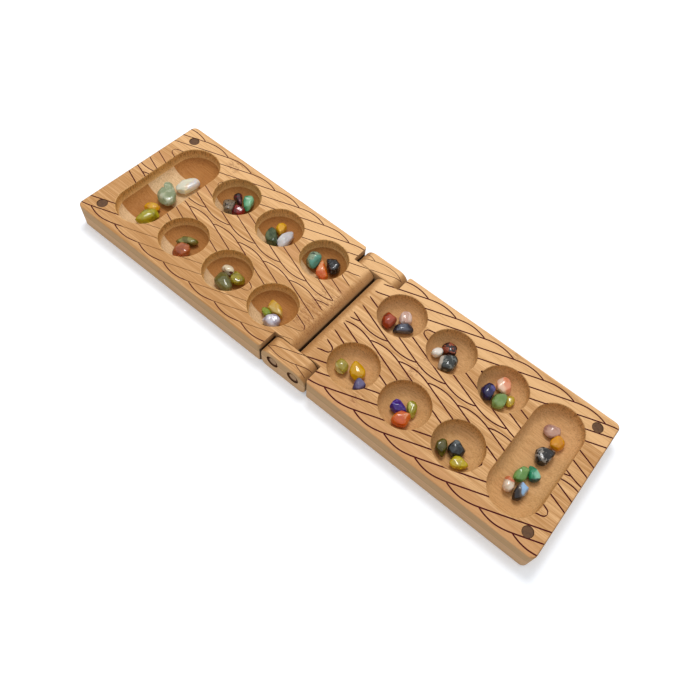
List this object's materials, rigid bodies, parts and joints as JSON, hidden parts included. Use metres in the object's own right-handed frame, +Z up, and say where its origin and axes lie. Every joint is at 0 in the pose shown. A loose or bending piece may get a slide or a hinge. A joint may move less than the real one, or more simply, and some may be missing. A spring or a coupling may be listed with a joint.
{
  "type": "mancala board",
  "caption": "Folding wooden mancala board lying open, with round pits, long end stores, pinned hinge links, corner magnets and tumbled stones as playing pieces",
  "frame": {"origin": "centre of the opened board at its underside, on the middle line of the hinge", "axes": "+X runs along the board to the right half, +Y across it to the far long side, +Z up out of the pits"},
  "size_m": [0.414, 0.12, 0.021],
  "materials": {
    "board_wood": "satin",
    "link_wood": "satin",
    "dowel_wood": "matte",
    "magnet_steel": "satin",
    "left_inner_near_pit_honey": "polished",
    "left_inner_near_pit_lime": "polished",
    "left_inner_near_pit_lavender": "polished",
    "left_middle_near_pit_moss": "polished",
    "left_middle_near_pit_citrine": "polished",
    "left_middle_near_pit_dalmatian": "polished",
    "left_outer_near_pit_twig": "polished",
    "left_outer_near_pit_salmon": "polished",
    "left_inner_far_pit_turquoise": "polished",
    "left_inner_far_pit_carnelian": "polished",
    "left_inner_far_pit_basalt": "polished",
    "left_middle_far_pit_topaz": "polished",
    "left_middle_far_pit_pine": "polished",
    "left_middle_far_pit_milk": "polished",
    "left_outer_far_pit_granite": "polished",
    "left_outer_far_pit_garnet": "polished",
    "left_outer_far_pit_jade": "polished",
    "left_outer_far_pit_onyx": "polished",
    "left_store_amber": "polished",
    "left_store_olive": "polished",
    "left_store_heart": "polished",
    "left_store_quartz": "polished",
    "right_inner_near_pit_straw": "polished",
    "right_inner_near_pit_sun": "polished",
    "right_inner_near_pit_iris": "polished",
    "right_middle_near_pit_amethyst": "polished",
    "right_middle_near_pit_olivine": "polished",
    "right_middle_near_pit_ember": "polished",
    "right_outer_near_pit_bottle": "polished",
    "right_outer_near_pit_coal": "polished",
    "right_outer_near_pit_canary": "polished",
    "right_inner_far_pit_brick": "polished",
    "right_inner_far_pit_slate": "polished",
    "right_inner_far_pit_shell": "polished",
    "right_middle_far_pit_chalk": "polished",
    "right_middle_far_pit_jasper": "polished",
    "right_middle_far_pit_flint": "polished",
    "right_outer_far_pit_sapphire": "polished",
    "right_outer_far_pit_fern": "polished",
    "right_outer_far_pit_peach": "polished",
    "right_outer_far_pit_lemon": "polished",
    "right_store_marigold": "polished",
    "right_store_mauve": "polished",
    "right_store_obsidian": "polished",
    "right_store_malachite": "polished",
    "right_store_apple": "polished",
    "right_store_coral": "polished",
    "right_store_agate": "polished"
  },
  "bodies": {
    "left_board": {"left_board": "board_wood", "near_left_dowel": "dowel_wood", "far_left_dowel": "dowel_wood", "near_left_magnet": "magnet_steel", "far_left_magnet": "magnet_steel"},
    "right_board": {"right_board": "board_wood", "near_right_dowel": "dowel_wood", "far_right_dowel": "dowel_wood", "near_right_magnet": "magnet_steel", "far_right_magnet": "magnet_steel"},
    "near_link": {"near_link": "link_wood"},
    "far_link": {"far_link": "link_wood"},
    "left_inner_near_pit_stones": {"left_inner_near_pit_honey": "left_inner_near_pit_honey", "left_inner_near_pit_lime": "left_inner_near_pit_lime", "left_inner_near_pit_lavender": "left_inner_near_pit_lavender"},
    "left_middle_near_pit_stones": {"left_middle_near_pit_moss": "left_middle_near_pit_moss", "left_middle_near_pit_citrine": "left_middle_near_pit_citrine", "left_middle_near_pit_dalmatian": "left_middle_near_pit_dalmatian"},
    "left_outer_near_pit_stones": {"left_outer_near_pit_twig": "left_outer_near_pit_twig", "left_outer_near_pit_salmon": "left_outer_near_pit_salmon"},
    "left_inner_far_pit_stones": {"left_inner_far_pit_turquoise": "left_inner_far_pit_turquoise", "left_inner_far_pit_carnelian": "left_inner_far_pit_carnelian", "left_inner_far_pit_basalt": "left_inner_far_pit_basalt"},
    "left_middle_far_pit_stones": {"left_middle_far_pit_topaz": "left_middle_far_pit_topaz", "left_middle_far_pit_pine": "left_middle_far_pit_pine", "left_middle_far_pit_milk": "left_middle_far_pit_milk"},
    "left_outer_far_pit_stones": {"left_outer_far_pit_granite": "left_outer_far_pit_granite", "left_outer_far_pit_garnet": "left_outer_far_pit_garnet", "left_outer_far_pit_jade": "left_outer_far_pit_jade", "left_outer_far_pit_onyx": "left_outer_far_pit_onyx"},
    "left_store_stones": {"left_store_amber": "left_store_amber", "left_store_olive": "left_store_olive", "left_store_heart": "left_store_heart", "left_store_quartz": "left_store_quartz"},
    "right_inner_near_pit_stones": {"right_inner_near_pit_straw": "right_inner_near_pit_straw", "right_inner_near_pit_sun": "right_inner_near_pit_sun", "right_inner_near_pit_iris": "right_inner_near_pit_iris"},
    "right_middle_near_pit_stones": {"right_middle_near_pit_amethyst": "right_middle_near_pit_amethyst", "right_middle_near_pit_olivine": "right_middle_near_pit_olivine", "right_middle_near_pit_ember": "right_middle_near_pit_ember"},
    "right_outer_near_pit_stones": {"right_outer_near_pit_bottle": "right_outer_near_pit_bottle", "right_outer_near_pit_coal": "right_outer_near_pit_coal", "right_outer_near_pit_canary": "right_outer_near_pit_canary"},
    "right_inner_far_pit_stones": {"right_inner_far_pit_brick": "right_inner_far_pit_brick", "right_inner_far_pit_slate": "right_inner_far_pit_slate", "right_inner_far_pit_shell": "right_inner_far_pit_shell"},
    "right_middle_far_pit_stones": {"right_middle_far_pit_chalk": "right_middle_far_pit_chalk", "right_middle_far_pit_jasper": "right_middle_far_pit_jasper", "right_middle_far_pit_flint": "right_middle_far_pit_flint"},
    "right_outer_far_pit_stones": {"right_outer_far_pit_sapphire": "right_outer_far_pit_sapphire", "right_outer_far_pit_fern": "right_outer_far_pit_fern", "right_outer_far_pit_peach": "right_outer_far_pit_peach", "right_outer_far_pit_lemon": "right_outer_far_pit_lemon"},
    "right_store_stones": {"right_store_marigold": "right_store_marigold", "right_store_mauve": "right_store_mauve", "right_store_obsidian": "right_store_obsidian", "right_store_malachite": "right_store_malachite", "right_store_apple": "right_store_apple", "right_store_coral": "right_store_coral", "right_store_agate": "right_store_agate"}
  },
  "joints": [
    {"name": "near_left_hinge", "type": "hinge", "parent": "left_board", "child": "near_link", "pos_m": [-0.0094, 0, 0.012], "axis": [0, 1, 0], "range_deg": [-90, 0]},
    {"name": "right_hinge", "type": "hinge", "parent": "near_link", "child": "right_board", "pos_m": [0.0094, 0, 0.012], "axis": [0, 1, 0], "range_deg": [-90, 0]},
    {"name": "far_left_hinge", "type": "hinge", "parent": "left_board", "child": "far_link", "pos_m": [-0.0094, 0, 0.012], "axis": [0, 1, 0], "range_deg": [-90, 0]},
    {"name": "left_inner_near_pit_lift", "type": "slide", "parent": "left_board", "child": "left_inner_near_pit_stones", "axis": [0, 0, 1], "range_m": [0, 0.05]},
    {"name": "left_middle_near_pit_lift", "type": "slide", "parent": "left_board", "child": "left_middle_near_pit_stones", "axis": [0, 0, 1], "range_m": [0, 0.05]},
    {"name": "left_outer_near_pit_lift", "type": "slide", "parent": "left_board", "child": "left_outer_near_pit_stones", "axis": [0, 0, 1], "range_m": [0, 0.05]},
    {"name": "left_inner_far_pit_lift", "type": "slide", "parent": "left_board", "child": "left_inner_far_pit_stones", "axis": [0, 0, 1], "range_m": [0, 0.05]},
    {"name": "left_middle_far_pit_lift", "type": "slide", "parent": "left_board", "child": "left_middle_far_pit_stones", "axis": [0, 0, 1], "range_m": [0, 0.05]},
    {"name": "left_outer_far_pit_lift", "type": "slide", "parent": "left_board", "child": "left_outer_far_pit_stones", "axis": [0, 0, 1], "range_m": [0, 0.05]},
    {"name": "left_store_lift", "type": "slide", "parent": "left_board", "child": "left_store_stones", "axis": [0, 0, 1], "range_m": [0, 0.05]},
    {"name": "right_inner_near_pit_lift", "type": "slide", "parent": "right_board", "child": "right_inner_near_pit_stones", "axis": [0, 0, 1], "range_m": [0, 0.05]},
    {"name": "right_middle_near_pit_lift", "type": "slide", "parent": "right_board", "child": "right_middle_near_pit_stones", "axis": [0, 0, 1], "range_m": [0, 0.05]},
    {"name": "right_outer_near_pit_lift", "type": "slide", "parent": "right_board", "child": "right_outer_near_pit_stones", "axis": [0, 0, 1], "range_m": [0, 0.05]},
    {"name": "right_inner_far_pit_lift", "type": "slide", "parent": "right_board", "child": "right_inner_far_pit_stones", "axis": [0, 0, 1], "range_m": [0, 0.05]},
    {"name": "right_middle_far_pit_lift", "type": "slide", "parent": "right_board", "child": "right_middle_far_pit_stones", "axis": [0, 0, 1], "range_m": [0, 0.05]},
    {"name": "right_outer_far_pit_lift", "type": "slide", "parent": "right_board", "child": "right_outer_far_pit_stones", "axis": [0, 0, 1], "range_m": [0, 0.05]},
    {"name": "right_store_lift", "type": "slide", "parent": "right_board", "child": "right_store_stones", "axis": [0, 0, 1], "range_m": [0, 0.05]}
  ],
  "couplings": [
    {"joint": "far_left_hinge", "follows": "near_left_hinge", "ratio": 1}
  ]
}
